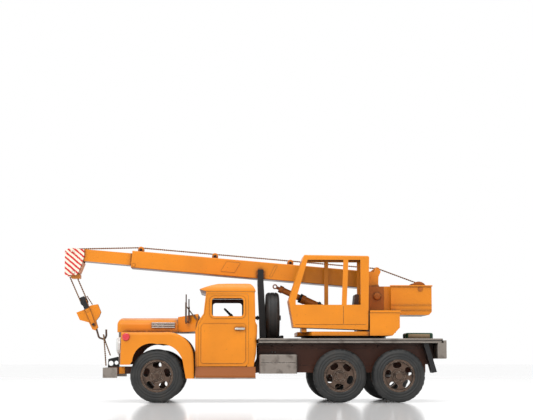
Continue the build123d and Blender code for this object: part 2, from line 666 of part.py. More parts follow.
# ---------------------------------------------------------------- boom
def boom():
    tube = box((-199.4, 196), (-BOOM_W / 2, BOOM_W / 2), (-BOOM_H / 2, BOOM_H / 2))
    tube = softened(tube, Axis.X, 1.5)
    inner_w, inner_h = BOOM_W / 2 - BOOM_WALL, BOOM_H / 2 - BOOM_WALL
    tube -= box((-210, 176), (-inner_w, inner_w), (-inner_h, inner_h))
    for side in SIDES:
        emblem = [(-44, 9), (-22, 9), (-30, -7), (-52, -7)]
        tube += slab_y(emblem, both(side, BOOM_W / 2 - 0.5, BOOM_W / 2 + 0.7))
        rib = [(36, 10), (39, 10), (31, -9), (28, -9)]
        tube += slab_y(rib, both(side, BOOM_W / 2 - 0.5, BOOM_W / 2 + 0.6))
        tube += bar_y((-195, -9.5), 2.2, both(side, BOOM_W / 2 - 0.5, BOOM_W / 2 + 1.2))
    for s in ROLLER_S.values():
        for side in SIDES:
            ear = bar_y((s, ROLLER_RISE), 5.0, both(side, 4.4, 6.4))
            ear += box((s - 5, s + 5), both(side, 4.4, 6.4), (BOOM_H / 2 - 1, ROLLER_RISE - 0.5))
            tube += ear
        tube += bar_y((s, ROLLER_RISE), 1.1, (-7.0, 7.0))
    tube = on_boom(tube)
    cheek = [
        (188.6, 181), (188.6, 210.5), (198.8, 211.4), (202.4, 218.4), (209.6, 211.6),
        (205.8, 203), (205.4, 191), (211.6, 176), (211.6, 163), (193.6, 163),
    ]
    for side in SIDES:
        y = both(side, 19.5, PLATE_IN - 0.4)
        root = slab_y(cheek, y) + bar_y(PIVOT, 10.4, y)
        tube += root - bar_y(PIVOT, 3.5 + RUN, y)
        horn = slab_y([(190, 205), (190, 210), (202.4, 218.4), (209.6, 211.6), (203, 205)],
            both(side, 4.4, 7.0))
        tube += horn + bar_y(HORN, 5.2, both(side, 4.4, 7.0))
    floor = slab_y([(190, 199.5), (190, 210.6), (199, 210.6), (202.2, 204), (202.2, 199.5)], (-20, 20))
    tube += floor + bar_y(HORN, 1.1, (-7.6, 7.6))
    save("boom", tube)


def rope_roller(centre):
    spool = bar_y(centre, ROLLER_CORE, (-4.2, 4.2))
    for side in SIDES:
        spool += bar_y(centre, 3.9, both(side, 3.2, 4.2))
    return spool - bar_y(centre, 1.1 + RUN, (-9, 9))


def rollers():
    for word, s in ROLLER_S.items():
        x, _, z = boom_point(s, ROLLER_RISE)
        save(f"rope_roller_{word}", rope_roller((x, z)))
    save("rope_roller_root", rope_roller(HORN))


def jib():
    tube = box((-281, -112), (-JIB_W / 2, JIB_W / 2), (-JIB_H / 2, JIB_H / 2))
    tube -= box((-290, -100), (-JIB_W / 2 + 2, JIB_W / 2 - 2), (-JIB_H / 2 + 2, JIB_H / 2 - 2))
    for side in SIDES:
        shoe = box((-130, -112.2), both(side, JIB_W / 2 - 0.5, BOOM_W / 2 - BOOM_WALL - 0.2), (-8, 8))
        tube += shoe
    for side in SIDES:
        low = box((-130, -112.2), (-12, 12), tuple(sorted((side * 9,
            side * (BOOM_H / 2 - BOOM_WALL - 0.2)))))
        tube += low
    save("jib", on_boom(tube))


def boom_head():
    plate = [(-307.4, 246.0), (-299.0, 250.0), (-276, 247.6), (-276, 236), (-279, 226),
        (-285.4, 209), (-289, 205.4),
             (-297, 205.4), (-307.6, 205.4)]
    pieces = []
    for side in SIDES:
        sheet = slab_y(plate, both(side, JIB_W / 2 + 0.1, JIB_W / 2 + 2.3))
        pieces.append(sheet)
    cheeks = pieces[0] + pieces[1]
    cheeks += bar_y(HEAD_TOP_PIN, 1.5, (-20.2, 20.2)) + bar_y(HEAD_LOW_PIN, 1.8, (-20.2, 20.2))
    web = slab_y([(-277.5, 225.6), (-280, 225.8), (-286.6, 209.2), (-284.6, 208.4)], (-16.7, 16.7))
    cheeks += web
    guide = box((-298.4, -283.4), (-9, 9), (200.4, 207.6))
    guide = softened(guide, Axis.Y, 1.5)
    guide -= bar_z((-288.4, 0), 1.6, (190, 220))
    hang = [slab_y([(-297, 205), (-289, 205), (-290, 213), (-296, 213)],
        both(side, 5, 8)) for side in SIDES]
    block = guide + hang[0] + hang[1] - bar_y(HEAD_LOW_PIN, 1.8, (-30, 30))
    save("boom_head", cheeks, block)


def sheave(centre, groove, flange, half, pin):
    wheel = bar_y(centre, groove, (-half, half))
    for side in SIDES:
        wheel += bar_y(centre, flange, both(side, half - 0.9, half))
    return wheel - bar_y(centre, pin + RUN, (-20, 20))


def sheaves():
    save("head_sheave", sheave(HEAD_TOP_PIN, SHEAVE_GROOVE, SHEAVE_R, 2.8, 1.5))
    save("block_sheave", sheave(BLOCK_SHEAVE, 4.2, 6.4, 2.6, 1.5))


# ---------------------------------------------------------------- hook block
def hook_block():
    wings = [(-289.5, 144.6), (-283.8, 132.4), (-268.8, 128.3), (-262.8, 116.8), (-258.2, 115.4),
        (-254.0, 120.2),
             (-257.2, 131.4), (-252.1, 138.2), (-249.3, 145.4), (-254.6, 158.4), (-265.5,
                 156.6), (-278.5, 148.8)]
    strap = [(-281.6, 163.6), (-278.0, 166.8), (-273.4, 165.6), (-267.6, 150.6), (-257.6, 123.4),
        (-264.6, 126.0),
             (-274.8, 147.4)]
    pieces = []
    for side in SIDES:
        cheek = slab_y(wings, both(side, 3.2, 4.4)) + slab_y(strap, both(side, 3.2, 6.0))
        cheek += bar_y(BLOCK_PIN, 3.6, both(side, 3.2, 6.6))
        pieces.append(cheek)
    block = pieces[0] + pieces[1] + bar_y(BLOCK_SHEAVE, 1.5, (-6.6, 6.6)) + bar_y(HOOK_PIN, 1.3,
        (-6.8, 6.8))
    block += bar_y(BLOCK_PIN, 1.6, (-7.2, 7.2))
    save("hook_block", block)


def hook():
    route = [(-260.0, 0, 122.6), (-256.4, 0, 117.0), (-252.6, 0, 103.6), (-243.0, 0, 100.6),
        (-240.4, 0, 107.0),
             (-240.8, 0, 117.0)]
    rod = cord(route, [6.0, 5.0, 4.0, 4.0], 1.6)
    rod += bar_y(HOOK_PIN, 3.0, (-2.4, 2.4))
    save("lifting_hook", rod - bar_y(HOOK_PIN, 1.3 + RUN, (-9, 9)))


# ---------------------------------------------------------------- ropes
def ropes():
    lift = ROLLER_CORE + ROPE_R + 0.1
    towards = (HORN[0] - DRUM[0], HORN[1] + lift - DRUM[1])
    reach = math.hypot(*towards)
    wound = DRUM_WOUND + ROPE_R + 0.15
    start = (DRUM[0] + wound * towards[1] / reach, 0, DRUM[1] - wound * towards[0] / reach)
    root = boom_point(HORN[0] + 1.6, ROLLER_RISE + lift)
    front = boom_point(ROLLER_S["front"] - 4.0, ROLLER_RISE + lift)
    save("rope_over_boom", cord([start, root, front], [lift], ROPE_R))
    rim_r = SHEAVE_GROOVE + ROPE_R + 0.1
    x, z = HEAD_TOP_PIN
    after = (front[0] - 0.4, 0, front[2])
    over = [after, (x - rim_r, 0, z + rim_r + 0.4), (x - rim_r - 0.2, 0, 204.4)]
    save("rope_over_jib", cord(over, [rim_r], ROPE_R))
    cx, cz = BLOCK_SHEAVE
    r = 4.2 + ROPE_R + 0.1
    ux, uz = FALL
    left_low = (cx - r * uz, cz - r * abs(ux))
    right_low = (cx + r * uz, cz + r * abs(ux))
    corner_l = (left_low[0] - r * ux, left_low[1] - r * uz)
    corner_r = (right_low[0] - r * ux, right_low[1] - r * uz)

    def up(point, height):
        t = (height - point[1]) / uz
        return (point[0] + t * ux, 0, height)

    falls = [up(left_low, 203.2), (corner_l[0], 0, corner_l[1]), (corner_r[0], 0, corner_r[1]),
        up(right_low, 200.2)]
    save("rope_falls", cord(falls, [r * 0.98, r * 0.98], ROPE_R))
    lash = [(-240.2, -3.6, 57.4), (-243.6, -3.6, 100), (-245.6, 0, 111.5), (-243.4, 3.6, 100),
        (-233.4, 0.4, 74.4)]
    save("lash_rope", cord(lash, [12, 2.2, 12], ROPE_R))


# ---------------------------------------------------------------- build everything
for build in (
    wheels, frame_rails, axles, deck, bumpers, lash_bracket, bonnet, front_wings, grille, lamps, cab_shell, cab_roof,
    cab_doors, cab_inside, steering_wheel, mirrors, tool_boxes, boom_rest, spare_wheel, turntable,
    jerry_can, mud_flaps, crane_base, pivot_plates, winch_box, winch_drum, operator_cab, operator_seat, control_lever,
    ram, boom, rollers, jib, boom_head, sheaves, hook_block, hook, ropes,
):
    build()
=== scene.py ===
"""How the toy crane truck looks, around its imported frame. Tables are in millimetres."""
import bpy
import bmesh
import json
import math
from mathutils import Matrix, Vector


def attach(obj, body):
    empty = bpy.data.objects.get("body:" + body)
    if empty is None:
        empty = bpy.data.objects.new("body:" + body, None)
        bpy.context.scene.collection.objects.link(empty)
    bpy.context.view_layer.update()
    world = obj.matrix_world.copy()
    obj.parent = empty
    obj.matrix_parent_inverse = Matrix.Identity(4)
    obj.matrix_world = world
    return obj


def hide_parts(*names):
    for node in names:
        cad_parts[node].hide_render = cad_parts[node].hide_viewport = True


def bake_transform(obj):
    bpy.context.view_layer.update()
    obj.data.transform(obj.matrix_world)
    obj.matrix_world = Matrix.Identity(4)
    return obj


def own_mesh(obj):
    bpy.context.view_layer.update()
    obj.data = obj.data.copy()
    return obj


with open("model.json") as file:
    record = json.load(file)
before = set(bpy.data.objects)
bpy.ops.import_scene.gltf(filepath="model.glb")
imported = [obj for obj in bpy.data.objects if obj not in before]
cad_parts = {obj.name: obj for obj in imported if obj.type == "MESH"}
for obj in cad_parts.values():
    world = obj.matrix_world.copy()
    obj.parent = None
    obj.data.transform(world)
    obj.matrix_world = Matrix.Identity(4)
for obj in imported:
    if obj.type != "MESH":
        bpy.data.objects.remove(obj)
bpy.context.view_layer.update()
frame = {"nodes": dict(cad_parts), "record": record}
MM = 0.001
NEAR = (0, -1, 0)                # towards the driver's side
NODES = frame["nodes"]


# ---------------------------------------------------------------- materials
def node(tree, kind, inputs=(), **props):
    """Add a shader node: inputs are (socket, value or linked output) pairs."""
    made = tree.nodes.new("ShaderNode" + kind)
    for key, value in props.items():
        setattr(made, key, value)
    for key, value in inputs:
        if isinstance(value, bpy.types.NodeSocket):
            tree.links.new(value, made.inputs[key])
        else:
            made.inputs[key].default_value = value
    return made


def rgba(colour):
    return (*colour, 1.0)


def math_node(tree, operation, a, b=0.0):
    return node(tree, "Math", [(0, a), (1, b)], operation=operation).outputs[0]


def ramp(tree, value, low, high):
    """value stretched so that low gives 0 and high gives 1."""
    return node(tree, "MapRange", [(0, value), (1, low), (2, high)]).outputs[0]


def mix(tree, share, a, b):
    return node(tree, "Mix", [(0, share), (6, a), (7, b)], data_type="RGBA").outputs[2]


def noise(tree, place, scale, detail=4.0):
    return node(tree, "TexNoise",
                [("Vector", place), ("Scale", scale), ("Detail", detail)]).outputs[0]


def start(name):
    material = bpy.data.materials.new(name)
    material.use_nodes = True
    tree = material.node_tree
    place = node(tree, "TexCoord").outputs["Object"]
    return material, tree, place, tree.nodes["Principled BSDF"]


def finish_surface(tree, shader, colour, rough, bump, depth):
    tree.links.new(colour, shader.inputs["Base Color"])
    tree.links.new(rough, shader.inputs["Roughness"])
    lift = node(tree, "Bump", [("Height", bump), ("Strength", 0.35), ("Distance", depth)])
    tree.links.new(lift.outputs[0], shader.inputs["Normal"])


def inward_shade(tree, place):
    """1 on faces that look inwards or down, which are given painted shade."""
    facing = node(tree, "SeparateXYZ", [(0, node(tree, "NewGeometry").outputs["Normal"])])
    parts = node(tree, "SeparateXYZ", [(0, place)])
    side = math_node(tree, "MULTIPLY", facing.outputs["Y"],
                     math_node(tree, "SIGN", parts.outputs["Y"]))
    return math_node(tree, "MAXIMUM", ramp(tree, side, -0.25, -0.6),
                     ramp(tree, facing.outputs["Z"], -0.3, -0.8))


def boards(tree, place):
    """1 on the sloping steps under the doors, which are browner than the cab."""
    parts = node(tree, "SeparateXYZ", [(0, place)])
    low = math_node(tree, "LESS_THAN", parts.outputs["Z"], 0.0562)
    fore = math_node(tree, "GREATER_THAN", parts.outputs["X"], -0.0921)
    return math_node(tree, "MULTIPLY", low, fore)


def paint(name, base, stain_and_shade, edge, rough, metal=0.0, crease_shade_amount=0.85, worn=0.5,
          paint_over=None, inside=None, blotch=0.0):
    """Hand-brushed enamel: mottled, with dark stains and specks, painted shade in the creases and
    on inward and downward faces, and edges lightened partly as rubbed wear and partly as painted
    highlight.
    """
    material, tree, place, shader = start(name)
    broad = noise(tree, place, 22.0, 5.0)
    fine = noise(tree, place, 260.0, 6.0)
    if paint_over is None:
        body = mix(tree, ramp(tree, broad, 0.3, 0.72), rgba(base), rgba([c * 0.86 for c in base]))
    else:
        body = paint_over(tree, place)
    if inside is not None:
        # Painted shade: faces that look inwards or down take the darker inside colour.
        body = mix(tree, inward_shade(tree, place), body, rgba(inside))
        body = mix(tree, boards(tree, place), body, rgba((0.30, 0.085, 0.012)))
    if blotch:
        stain = ramp(tree, noise(tree, place, 75.0, 8.0), 0.50, 0.68)
        body = mix(tree, math_node(tree, "MULTIPLY", stain, blotch), body, rgba(stain_and_shade))
    # Painted shade: ambient occlusion darkens creases and recesses towards the dark colour.
    open_air = node(tree, "AmbientOcclusion", [("Distance", 0.009)], samples=8).outputs["AO"]
    crease_shade_mask = math_node(tree, "MULTIPLY", ramp(tree, open_air, 0.95, 0.58),
                       ramp(tree, fine, 0.1, 0.5))
    body = mix(tree, math_node(tree, "MULTIPLY", crease_shade_mask, crease_shade_amount), body, rgba(stain_and_shade))
    # Edges lightened towards the edge colour, partly rubbed wear and partly painted highlight.
    round_normal = node(tree, "Bevel", [("Radius", 0.0009)], samples=4).outputs[0]
    flat_normal = node(tree, "NewGeometry").outputs["Normal"]
    same = node(tree, "VectorMath", [(0, round_normal), (1, flat_normal)], operation="DOT_PRODUCT")
    rubbed_and_highlit = math_node(tree, "MULTIPLY", ramp(tree, same.outputs["Value"], 0.985, 0.86),
                       ramp(tree, fine, 0.42, 0.6))
    body = mix(tree, math_node(tree, "MULTIPLY", rubbed_and_highlit, worn), body, rgba(edge))
    specks = math_node(tree, "MULTIPLY",
                       ramp(tree, noise(tree, place, 520.0, 2.0), 0.70, 0.76), 0.55)
    body = mix(tree, specks, body, rgba(stain_and_shade))
    shine = node(tree, "MapRange",
                 [(0, broad), (1, 0.3), (2, 0.7), (3, rough - 0.07), (4, rough + 0.10)])
    shader.inputs["Metallic"].default_value = metal
    shader.inputs["Specular IOR Level"].default_value = 0.32
    finish_surface(tree, shader, body, shine.outputs[0], fine, 0.00035)
    return material


def red_bars(tree, place):
    """Slanting hand-painted bars, ragged at their ends, on a cream ground."""
    parts = node(tree, "SeparateXYZ", [(0, place)])
    along = math_node(tree, "MULTIPLY", parts.outputs["X"], 850.0)
    up = math_node(tree, "MULTIPLY", parts.outputs["Z"], 1000.0)
    wobble = math_node(tree, "MULTIPLY", noise(tree, place, 170.0), 2.4)
    travel = math_node(tree, "ADD", math_node(tree, "ADD", along, up), wobble)
    phase = math_node(tree, "FRACT",
                      math_node(tree, "DIVIDE", math_node(tree, "ADD", travel, 401.0), 8.7))
    bar = math_node(tree, "LESS_THAN", phase, 0.46)
    inside = math_node(tree, "GREATER_THAN", noise(tree, place, 300.0), 0.34)
    stripes = mix(tree, math_node(tree, "MULTIPLY", bar, inside),
                  rgba((0.86, 0.80, 0.66)), rgba((0.62, 0.03, 0.03)))
    facing = node(tree, "SeparateXYZ", [(0, node(tree, "NewGeometry").outputs["Normal"])])
    side = math_node(tree, "GREATER_THAN", math_node(tree, "ABSOLUTE", facing.outputs["Y"]), 0.8)
    outer = math_node(tree, "GREATER_THAN", math_node(tree, "ABSOLUTE", parts.outputs["Y"]), 0.0105)
    return mix(tree, math_node(tree, "MULTIPLY", side, outer), rgba((0.60, 0.22, 0.03)), stripes)


def rope_material():
    material, tree, place, shader = start("rope_twisted")
    threads = node(tree, "TexWave", [("Vector", place), ("Scale", 420.0), ("Distortion", 3.0)],
                   bands_direction="DIAGONAL")
    patches = ramp(tree, noise(tree, place, 120.0), 0.35, 0.65)
    rust = mix(tree, patches, rgba((0.24, 0.085, 0.025)), rgba((0.36, 0.23, 0.12)))
    colour = mix(tree, math_node(tree, "MULTIPLY", threads.outputs["Fac"], 0.55),
                 rust, rgba((0.09, 0.04, 0.02)))
    rough = node(tree, "MapRange", [(0, patches), (3, 0.75), (4, 0.95)]).outputs[0]
    finish_surface(tree, shader, colour, rough, threads.outputs["Fac"], 0.0003)
    return material


def rubber(name):
    material, tree, place, shader = start(name)
    dust = ramp(tree, noise(tree, place, 60.0, 7.0), 0.42, 0.75)
    fine = noise(tree, place, 700.0, 3.0)
    colour = mix(tree, dust, rgba((0.012, 0.013, 0.013)), rgba((0.040, 0.038, 0.035)))
    rough = node(tree, "MapRange", [(0, dust), (3, 0.50), (4, 0.80)]).outputs[0]
    finish_surface(tree, shader, colour, rough, fine, 0.0002)
    return material


def gloss_red():
    """Red domes and tail lamps; the two headlamps in the same node are frosted clear."""
    material, tree, place, shader = start("lamp_red_gloss")
    ribs = node(tree, "TexWave", [("Vector", place), ("Scale", 160.0), ("Distortion", 0.4)])
    red = mix(tree, ribs.outputs["Fac"], rgba((0.50, 0.004, 0.012)), rgba((0.78, 0.03, 0.05)))
    parts = node(tree, "SeparateXYZ", [(0, place)])
    headlamp = math_node(tree, "LESS_THAN", parts.outputs["X"], -0.2085)
    colour = mix(tree, headlamp, red, rgba((0.62, 0.62, 0.60)))
    rough = node(tree, "MapRange", [(0, noise(tree, place, 90.0)), (3, 0.08), (4, 0.22)]).outputs[0]
    shader.inputs["Coat Weight"].default_value = 0.6
    finish_surface(tree, shader, colour, rough, ribs.outputs["Fac"], 0.0002)
    return material


# The second colour darkens specks and, as painted shade, the creases; the third lightens edges,
# partly as rubbed wear and partly as painted highlight.
ORANGE, RUST_SPECKS_AND_SHADE, RUBBED_AND_HIGHLIT = (0.80, 0.255, 0.010), (0.115, 0.030, 0.008), (0.90, 0.42, 0.10)
M = {
    # The inside colour is painted shade on faces that look inwards or down.
    "orange_paint": paint("orange_enamel", ORANGE, RUST_SPECKS_AND_SHADE, RUBBED_AND_HIGHLIT, 0.36, crease_shade_amount=1.0,
                          inside=(0.10, 0.032, 0.012)),
    "frame_paint": paint("frame_brown", (0.088, 0.026, 0.011), (0.014, 0.006, 0.004),
                         (0.30, 0.12, 0.06), 0.42),
    "worn_silver": paint("silver_aged", (0.27, 0.235, 0.205), (0.050, 0.034, 0.026),
                         (0.66, 0.61, 0.55), 0.38, 0.45,
                         worn=0.8, blotch=0.55),
    "black_paint": paint("black_satin", (0.014, 0.014, 0.015), (0.004, 0.004, 0.004),
                         (0.15, 0.13, 0.11), 0.38),
    "tyre_rubber": rubber("tyre_charcoal"),
    "wheel_bronze": paint("bronze_worn", (0.125, 0.082, 0.060), (0.014, 0.009, 0.007),
                          (0.50, 0.40, 0.32), 0.34, 0.6,
                          worn=0.9, blotch=0.6),
    "rope": rope_material(),
    "head_paint": paint("head_striped", (0.8, 0.8, 0.7), (0.20, 0.08, 0.03),
                        (0.7, 0.4, 0.2), 0.45, paint_over=red_bars),
    "green_paint": paint("can_green", (0.010, 0.055, 0.022), (0.004, 0.012, 0.006),
                         (0.20, 0.19, 0.11), 0.38),
    "lamp_red": gloss_red(),
    "seat_brown": paint("seat_brown", (0.075, 0.028, 0.014), (0.015, 0.007, 0.004),
                        (0.22, 0.10, 0.05), 0.5),
}
CHROME = paint("chrome_dull", (0.55, 0.53, 0.49), (0.06, 0.045, 0.035),
               (0.80, 0.78, 0.74), 0.24, 0.9)
LABEL = paint("can_label", (0.36, 0.26, 0.15), (0.08, 0.05, 0.03), (0.5, 0.4, 0.3), 0.6)
# Pivot plates: a darker copy of the orange paint, as painted shade for plates that stand in shadow.
SHADED_PLATE = paint("plate_painted_shade", (0.42, 0.125, 0.018), (0.07, 0.022, 0.010),
              (0.75, 0.32, 0.10), 0.6, worn=0.7)

slot_of = {row["node"]: row["material_slot"] for row in frame["record"]["subparts"]}
BROWN_ORANGE = paint("orange_browned", (0.46, 0.125, 0.012), RUST_SPECKS_AND_SHADE, (0.75, 0.32, 0.08), 0.45)
PAINT_APART = {"pivot_plates": SHADED_PLATE, "ram_barrel": BROWN_ORANGE, "ram_stage": BROWN_ORANGE,
               "ram_rod": BROWN_ORANGE,
               "winch_drum": BROWN_ORANGE, "mirrors": M["wheel_bronze"]}
for name, thing in NODES.items():
    look = PAINT_APART.get(name, M[slot_of[name]])
    if not thing.material_slots:
        thing.data.materials.append(None)
    for held in thing.material_slots:
        held.link = "OBJECT"
        held.material = look
    soft_edge = thing.modifiers.new("soft_edge", "WEIGHTED_NORMAL")
    soft_edge.keep_sharp = True


# ---------------------------------------------------------------- making pieces
def piece(name, verts, faces, body, material, slot_name, bevel=0.0, smooth=True):
    """A mesh from millimetre points, riding on a body."""
    mesh = bpy.data.meshes.new(name)
    mesh.from_pydata([[c * MM for c in v] for v in verts], [], faces)
    work = bmesh.new()
    work.from_mesh(mesh)
    bmesh.ops.recalc_face_normals(work, faces=work.faces)
    work.to_mesh(mesh)
    work.free()
    for face in mesh.polygons:
        face.use_smooth = smooth
    thing = bpy.data.objects.new(name, mesh)
    bpy.context.scene.collection.objects.link(thing)
    mesh.materials.append(material)
    if bevel:
        rounding = thing.modifiers.new("rounding", "BEVEL")
        rounding.width, rounding.segments, rounding.limit_method = bevel * MM, 2, "ANGLE"
    if body:
        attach(thing, body)
    return thing


def lathe(profile, centre, axis, turns=48, closed=False):
    """Points and faces of (radius, height) pairs turned about an axis through centre."""
    turn = Vector((0, 0, 1)).rotation_difference(Vector(axis)).to_matrix()
    verts, faces, rows = [], [], len(profile)
    for k in range(turns):
        angle = 2 * math.pi * k / turns
        for radius, height in profile:
            local = Vector((radius * math.cos(angle), radius * math.sin(angle), height))
            verts.append(list(turn @ local + Vector(centre)))
    spans = rows if closed else rows - 1
    for k in range(turns):
        for i in range(spans):
            a, b = k * rows + i, k * rows + (i + 1) % rows
            after = ((k + 1) % turns) * rows
            faces.append((a, b, after + (i + 1) % rows, after + i))
    if not closed:
        faces.append([k * rows for k in range(turns)])
        faces.append([k * rows + rows - 1 for k in range(turns)])
    return verts, faces


def joined(parts):
    """Several (verts, faces) pairs as one."""
    verts, faces = [], []
    for more, its_faces in parts:
        base = len(verts)
        verts += more
        faces += [[i + base for i in face] for face in its_faces]
    return verts, faces


def head(radius, height, centre, axis, sides=16):
    """A domed rivet or pin head standing on a surface."""
    dome = [(radius * 0.96, -0.3), (radius, height * 0.35), (radius * 0.82, height * 0.78),
            (radius * 0.4, height)]
    return lathe(dome, centre, axis, sides)


def plate(outline, low, high, axis):
    """A flat outline, thick along x, y or z."""
    verts = []
    for level in (low, high):
        for u, v in outline:
            verts.append({"x": (level, u, v), "y": (u, level, v), "z": (u, v, level)}[axis])
    n = len(outline)
    faces = [list(range(n)), list(range(2 * n - 1, n - 1, -1))]
    faces += [(i, (i + 1) % n, n + (i + 1) % n, n + i) for i in range(n)]
    return verts, faces


def strip(x, y, z):
    """A block between two values on each axis."""
    return plate([(x[0], z[0]), (x[1], z[0]), (x[1], z[1]), (x[0], z[1])], y[0], y[1], "y")


def rounded(route, reach, steps=6):
    """A route with its corners turned as arcs, then cut into short even steps."""
    points = [Vector(p) for p in route]
    out = [points[0]]
    for before, corner, after in zip(points, points[1:], points[2:]):
        cut = min(reach, (before - corner).length * 0.49, (after - corner).length * 0.49)
        a = corner + (before - corner).normalized() * cut
        b = corner + (after - corner).normalized() * cut
        for k in range(steps + 1):
            t = k / steps
            out.append(a * (1 - t) ** 2 + corner * 2 * t * (1 - t) + b * t * t)
    out.append(points[-1])
    return out


def evenly(points, step):
    """Points at even spacing along a route, about step apart."""
    lengths = [0.0]
    for a, b in zip(points, points[1:]):
        lengths.append(lengths[-1] + (b - a).length)
    count = max(2, round(lengths[-1] / step))
    out, i = [], 0
    for k in range(count + 1):
        want = lengths[-1] * k / count
        while i < len(points) - 2 and lengths[i + 1] < want:
            i += 1
        span = lengths[i + 1] - lengths[i] or 1.0
        out.append(points[i].lerp(points[i + 1], (want - lengths[i]) / span))
    return out


def sweep(points, radius, sides=8, twist_r=0.0, pitch=5.0, phase=0.0):
    """A tube along points; with twist_r it winds round them, as one strand of a rope."""
    verts, faces, gone = [], [], 0.0
    side = None
    for k, p in enumerate(points):
        ahead = (points[min(k + 1, len(points) - 1)] - points[max(k - 1, 0)]).normalized()
        if side is None:
            side = ahead.orthogonal().normalized()
        side = (side - ahead * side.dot(ahead)).normalized()
        across = ahead.cross(side)
        if k:
            gone += (p - points[k - 1]).length
        angle = phase + 2 * math.pi * gone / pitch
        middle = p + (side * math.cos(angle) + across * math.sin(angle)) * twist_r
        for j in range(sides):
            turn = 2 * math.pi * j / sides
            verts.append(list(middle + (side * math.cos(turn) + across * math.sin(turn)) * radius))
    for k in range(len(points) - 1):
        for j in range(sides):
            a, b = k * sides + j, k * sides + (j + 1) % sides
            faces.append((a, b, b + sides, a + sides))
    faces.append(list(range(sides)))
    faces.append([len(verts) - sides + j for j in range(sides)])
    return verts, faces


def rope(name, route, body, corner=5.0, radius=1.3):
    """Two strands laid together along a route."""
    line = evenly(rounded(route, corner), 0.9)
    half = radius * 0.5
    strands = [sweep(line, half, 7, radius - half, 7.0, turn) for turn in (0.0, math.pi)]
    return piece(name, *joined(strands), body, M["rope"], "rope")


# ---------------------------------------------------------------- wheels
def tyre_mesh(out_y, x, z, axis):
    """A tyre with ringed walls and a lugged shoulder; out_y is its outer wall."""
    wall = [(25.6, -21.5), (25.6, -0.9), (27.2, -0.3), (29.2, -0.1), (29.7, -0.9),
            (30.5, -0.9), (31.0, -0.1),
            (33.2, -0.1), (33.7, -1.0), (34.6, -1.0), (35.1, -0.3), (37.0, -1.0),
            (39.6, -2.6), (41.4, -4.8),
            (42.0, -6.4), (42.0, -7.2), (40.7, -7.5), (40.7, -8.7), (42.0, -9.0),
            (42.0, -13.0), (40.7, -13.3),
            (40.7, -14.5), (42.0, -14.8), (42.0, -16.4), (40.8, -19.2), (38.0, -21.4),
            (30.0, -22.0)]
    turns, rows = 120, len(wall)
    verts, faces = lathe(wall, (0, 0, 0), (0, 0, 1), turns, closed=True)
    shoulder = {12: 0.6, 13: 1.1, 14: 1.1, 15: 0.7, 22: 0.7, 23: 1.1, 24: 1.0}
    for k in range(turns):
        if k % 4 < 1:
            for i, cut in shoulder.items():
                v = verts[k * rows + i]
                r = math.hypot(v[0], v[1])
                v[0], v[1] = v[0] * (r - cut) / r, v[1] * (r - cut) / r
    turn = Vector((0, 0, 1)).rotation_difference(Vector(axis)).to_matrix()
    base = Vector((x, out_y, z))
    return [list(turn @ Vector(v) + base) for v in verts], faces


TYRE_R, WALL_Y = 42.0, 98.0      # tyre radius, and how far out its outer wall stands
NUT_RING, NUT_Y, CAP_Y = 8.7, 95.4, 96.0
AXLE_X = {"front": -152.0, "middle": 135.5, "rear": 228.3}
PHASE = {"front": 18.0, "middle": 50.0, "rear": 26.0}
for row, x in AXLE_X.items():
    for word, side in (("left", -1), ("right", 1)):
        body = f"wheel_{row}_{word}"
        rubber_ring = piece(f"tyre_look_{row}_{word}",
                            *tyre_mesh(side * WALL_Y, x, TYRE_R, (0, side, 0)), body,
                            M["tyre_rubber"], "tyre_rubber")
        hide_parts(f"tyre_{row}_{word}")
        nuts = []
        for k in range(8):
            a = math.radians(45 * k + PHASE[row])
            spot = (x + NUT_RING * math.cos(a), side * NUT_Y, TYRE_R + NUT_RING * math.sin(a))
            nuts.append(head(1.15, 1.1, spot, (0, side, 0), 6))
        cap = [(5.4, -0.4), (5.4, 0.5), (4.6, 1.0), (4.4, 1.6), (2.4, 1.9)]
        nuts.append(lathe(cap, (x, side * CAP_Y, TYRE_R), (0, side, 0), 32))
        piece(f"wheel_nuts_{row}_{word}", *joined(nuts), body, M["wheel_bronze"],
              "wheel_bronze", smooth=False)


# ---------------------------------------------------------------- ropes
PITCH = math.atan(0.0855)        # slope of the boom
BOOM_Z = 214.6                   # height of its centreline at X = 0
SIN, COS = math.sin(PITCH), math.cos(PITCH)


def boom_point(s, h):
    """A point s along the boom and h above its centreline, which slopes down to the back."""
    return (s * COS + h * SIN, 0.0, BOOM_Z - s * SIN + h * COS)


DRUM, WOUND, LIFT = (272.0, 182.0), 12.05, 3.3
HORN = (205.5, 215.0)
run = (HORN[0] - DRUM[0], HORN[1] + LIFT - DRUM[1])
reach = math.hypot(*run)
drum_end = (DRUM[0] + WOUND * run[1] / reach, 0, DRUM[1] - WOUND * run[0] / reach)
root, front = boom_point(HORN[0] + 1.6, 18 + LIFT), boom_point(-190.5, 18 + LIFT)
over_boom = rope("rope_look_over_boom", [drum_end, root, front], None, LIFT)
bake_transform(over_boom)
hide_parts("rope_over_boom")
sheave = (-294.3, 243.1)
RIM = 6.1
top = (sheave[0], 0, sheave[1] + RIM + 0.4)
along_jib = rope("rope_look_along_jib",
                 [(front[0] - 0.4, 0, front[2]), (top[0] + 1.0, 0, top[2])], "jib")
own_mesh(along_jib)
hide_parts("rope_over_jib")
rope("rope_look_over_head",
     [(top[0] + 1.2, 0, top[2]), (sheave[0] - RIM, 0, top[2]), (sheave[0] - RIM - 0.2, 0, 204.4)],
     "jib", RIM)
FALL = Vector((-0.407, 0, 0.914)).normalized()
pulley, r = (-277.0, 162.0), 5.3
side_x, side_z = r * FALL.z, r * abs(FALL.x)
left, right = (Vector((pulley[0] - side_x, 0, pulley[1] - side_z)),
               Vector((pulley[0] + side_x, 0, pulley[1] + side_z)))
falls_route = [left + FALL * ((203.2 - left.z) / FALL.z), left - FALL * r, right - FALL * r,
               right + FALL * ((200.2 - right.z) / FALL.z)]
falls = rope("rope_look_falls", falls_route, "falls", r * 0.98)
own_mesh(falls)
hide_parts("rope_falls")
